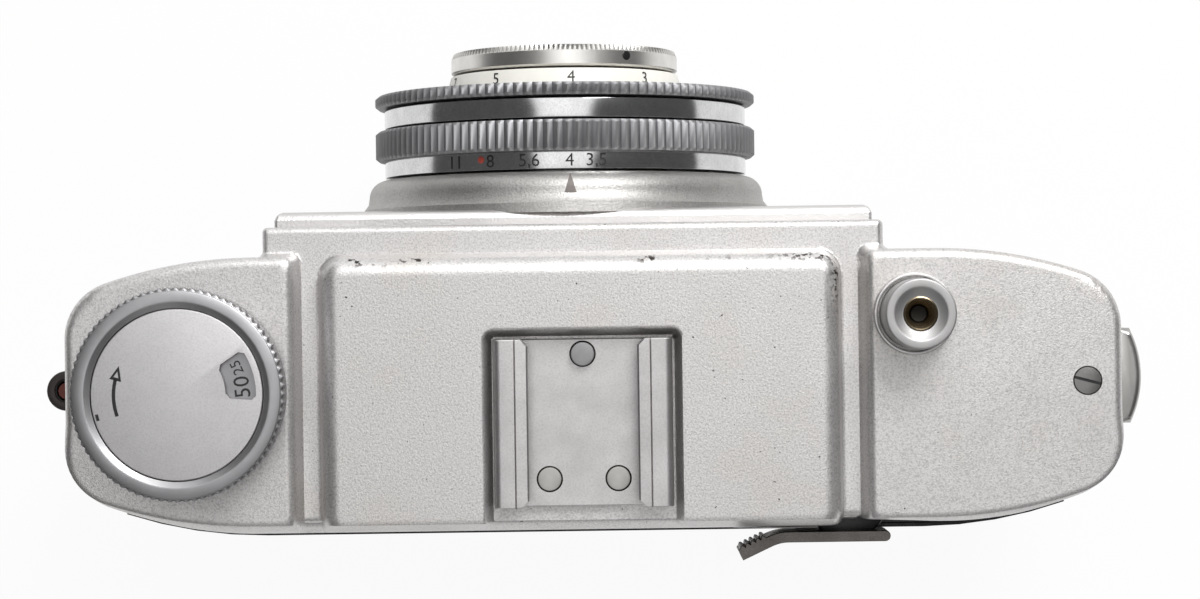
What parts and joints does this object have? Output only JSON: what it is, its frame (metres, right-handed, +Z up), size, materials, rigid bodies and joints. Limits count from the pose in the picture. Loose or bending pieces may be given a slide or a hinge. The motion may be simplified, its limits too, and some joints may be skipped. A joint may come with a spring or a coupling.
{
  "type": "viewfinder camera",
  "caption": "35 mm viewfinder camera with satin metal top housing, leaf-shutter lens, accessory shoe, rewind knob, shutter release, advance lever and hinged back door.",
  "frame": {"origin": "on the underside of the base cover, below the middle of the body", "axes": "+Z up, the lens looks along -Y, +X towards the rewind knob"},
  "size_m": [0.1342, 0.0637, 0.077],
  "materials": {
    "satin_chrome": "fine bead-blasted satin",
    "chrome": "polished",
    "spun_aluminium": "spun, with concentric brushing",
    "nickel": "brushed nickel",
    "steel": "plain steel",
    "brass": "turned brass",
    "copper_pin": "dull copper",
    "black_paint": "semi-matt black",
    "cast_metal": "blackened casting",
    "leatherette": "grained black covering",
    "glass": "polished glass",
    "scale_paint": "cream enamel"
  },
  "bodies": {
    "root": {"body_casting": "cast_metal", "top_housing": "satin_chrome", "base_cover": "satin_chrome", "tripod_bush": "steel", "base_screw_left": "nickel", "base_screw_right": "nickel", "front_plate": "satin_chrome", "front_covering_left": "leatherette", "front_covering_right": "leatherette", "lens_flange": "satin_chrome", "shutter_housing": "chrome", "rear_lens_cell": "black_paint", "rear_lens": "glass", "latch_plate": "nickel", "hinge_pin": "copper_pin", "release_collar": "satin_chrome", "accessory_shoe": "nickel", "shoe_stop_pin": "nickel", "shoe_rivet_left": "nickel", "shoe_rivet_right": "nickel", "housing_screw": "nickel", "lever_stud": "steel", "finder_window": "glass", "finder_tube": "black_paint", "finder_eyepiece": "glass"},
    "back_door": {"back_door": "black_paint", "back_covering": "leatherette", "platen_spring_left": "steel", "platen_spring_right": "steel"},
    "pressure_plate": {"pressure_plate": "black_paint"},
    "back_latch": {"back_latch": "steel"},
    "rewind_shaft": {"rewind_shaft": "steel"},
    "rewind_knob": {"rewind_knob": "spun_aluminium", "film_index_disc": "nickel"},
    "rewind_dial": {"rewind_dial": "spun_aluminium"},
    "release_button": {"release_button": "spun_aluminium", "release_thread": "brass"},
    "advance_lever": {"advance_lever": "steel"},
    "sprocket": {"sprocket": "steel", "wind_gear": "brass"},
    "take_up_spool": {"take_up_spool": "black_paint"},
    "frame_counter": {"frame_counter": "scale_paint"},
    "rewind_release": {"rewind_release": "nickel"},
    "aperture_ring": {"aperture_ring": "chrome"},
    "focus_ring": {"focus_ring": "scale_paint"},
    "front_cell": {"front_lens_cell": "chrome", "front_lens": "glass", "front_lens_retainer": "black_paint", "set_screw": "steel"},
    "aperture_blade_1": {"aperture_blade_1": "black_paint"},
    "aperture_blade_2": {"aperture_blade_2": "black_paint"},
    "aperture_blade_3": {"aperture_blade_3": "black_paint"},
    "aperture_blade_4": {"aperture_blade_4": "black_paint"},
    "aperture_blade_5": {"aperture_blade_5": "black_paint"},
    "shutter_blade_1": {"shutter_blade_1": "black_paint"},
    "shutter_blade_2": {"shutter_blade_2": "black_paint"},
    "shutter_blade_3": {"shutter_blade_3": "black_paint"}
  },
  "joints": [
    {"name": "back_door_swing", "type": "hinge", "parent": "root", "child": "back_door", "pos_m": [0.0643, 0, 0.0308], "axis": [0, 0, -1], "range_deg": [0, 110]},
    {"name": "pressure_plate_float", "type": "slide", "parent": "back_door", "child": "pressure_plate", "axis": [0, 1, 0], "range_m": [0, 0.00025], "stiffness_N_per_m": 400, "deforming": ["platen_spring_left", "platen_spring_right"]},
    {"name": "back_latch_slide", "type": "slide", "parent": "root", "child": "back_latch", "axis": [0, 0, 1], "range_m": [0, 0.0028], "stiffness_N_per_m": 300},
    {"name": "rewind_turn", "type": "hinge", "parent": "root", "child": "rewind_shaft", "pos_m": [0.0477, 0, 0.06], "axis": [0, 0, 1], "continuous": true},
    {"name": "rewind_pull", "type": "slide", "parent": "rewind_shaft", "child": "rewind_knob", "axis": [0, 0, 1], "range_m": [0, 0.006]},
    {"name": "film_dial_turn", "type": "hinge", "parent": "rewind_knob", "child": "rewind_dial", "pos_m": [0.0477, 0, 0.076], "axis": [0, 0, 1], "continuous": true},
    {"name": "release_press", "type": "slide", "parent": "root", "child": "release_button", "axis": [0, 0, -1], "range_m": [0, 0.0025], "stiffness_N_per_m": 400},
    {"name": "advance_lever_swing", "type": "hinge", "parent": "root", "child": "advance_lever", "pos_m": [-0.0302, 0.014, 0.062], "axis": [0, 0, 1], "range_deg": [0, 120], "stiffness_Nm_per_rad": 0.02},
    {"name": "sprocket_turn", "type": "hinge", "parent": "root", "child": "sprocket", "pos_m": [-0.0239, 0.0069, 0.031], "axis": [0, 0, 1], "range_deg": [-121, 1]},
    {"name": "take_up_turn", "type": "hinge", "parent": "root", "child": "take_up_spool", "pos_m": [-0.044, 0, 0.031], "axis": [0, 0, 1], "range_deg": [-1, 181]},
    {"name": "frame_counter_turn", "type": "hinge", "parent": "root", "child": "frame_counter", "pos_m": [-0.044, 0, 0.0016], "axis": [0, 0, 1], "range_deg": [-1, 6]},
    {"name": "rewind_release_press", "type": "slide", "parent": "root", "child": "rewind_release", "axis": [0, 0, 1], "range_m": [0, 0.0012], "stiffness_N_per_m": 300},
    {"name": "aperture_turn", "type": "hinge", "parent": "root", "child": "aperture_ring", "pos_m": [0.0034, -0.0295, 0.031], "axis": [0, -1, 0], "range_deg": [-8.7, 66.5]},
    {"name": "focus_turn", "type": "hinge", "parent": "root", "child": "focus_ring", "pos_m": [0.0034, -0.0365, 0.031], "axis": [0, -1, 0], "range_deg": [-0.5, 270.5]},
    {"name": "front_cell_slide", "type": "slide", "parent": "root", "child": "front_cell", "axis": [0, -1, 0], "range_m": [0, 0.0012]},
    {"name": "aperture_blade_1_swing", "type": "hinge", "parent": "root", "child": "aperture_blade_1", "pos_m": [0.0184, -0.024, 0.031], "axis": [0, -1, 0], "range_deg": [-3.5, 23]},
    {"name": "aperture_blade_2_swing", "type": "hinge", "parent": "root", "child": "aperture_blade_2", "pos_m": [0.00804, -0.024, 0.04527], "axis": [0, -1, 0], "range_deg": [-3.5, 23]},
    {"name": "aperture_blade_3_swing", "type": "hinge", "parent": "root", "child": "aperture_blade_3", "pos_m": [-0.00874, -0.024, 0.03982], "axis": [0, -1, 0], "range_deg": [-3.5, 23]},
    {"name": "aperture_blade_4_swing", "type": "hinge", "parent": "root", "child": "aperture_blade_4", "pos_m": [-0.00874, -0.024, 0.02218], "axis": [0, -1, 0], "range_deg": [-3.5, 23]},
    {"name": "aperture_blade_5_swing", "type": "hinge", "parent": "root", "child": "aperture_blade_5", "pos_m": [0.00804, -0.024, 0.01673], "axis": [0, -1, 0], "range_deg": [-3.5, 23]},
    {"name": "shutter_blade_1_swing", "type": "hinge", "parent": "root", "child": "shutter_blade_1", "pos_m": [0.0184, -0.026, 0.031], "axis": [0, -1, 0], "range_deg": [-30.5, 0.5]},
    {"name": "shutter_blade_2_swing", "type": "hinge", "parent": "root", "child": "shutter_blade_2", "pos_m": [-0.0041, -0.026, 0.04399], "axis": [0, -1, 0], "range_deg": [-30.5, 0.5]},
    {"name": "shutter_blade_3_swing", "type": "hinge", "parent": "root", "child": "shutter_blade_3", "pos_m": [-0.0041, -0.026, 0.01801], "axis": [0, -1, 0], "range_deg": [-30.5, 0.5]}
  ],
  "couplings": [
    {"joint": "sprocket_turn", "follows": "advance_lever_swing", "ratio": -1},
    {"joint": "take_up_turn", "follows": "advance_lever_swing", "ratio": 1.5},
    {"joint": "frame_counter_turn", "follows": "advance_lever_swing", "ratio": 0.0375},
    {"joint": "focus_turn", "follows": "front_cell_slide", "rad_per_m": 3927},
    {"joint": "aperture_blade_1_swing", "follows": "aperture_turn", "ratio": 0.33},
    {"joint": "aperture_blade_2_swing", "follows": "aperture_turn", "ratio": 0.33},
    {"joint": "aperture_blade_3_swing", "follows": "aperture_turn", "ratio": 0.33},
    {"joint": "aperture_blade_4_swing", "follows": "aperture_turn", "ratio": 0.33},
    {"joint": "aperture_blade_5_swing", "follows": "aperture_turn", "ratio": 0.33},
    {"joint": "shutter_blade_1_swing", "follows": "release_press", "rad_per_m": -209.44},
    {"joint": "shutter_blade_2_swing", "follows": "release_press", "rad_per_m": -209.44},
    {"joint": "shutter_blade_3_swing", "follows": "release_press", "rad_per_m": -209.44}
  ]
}
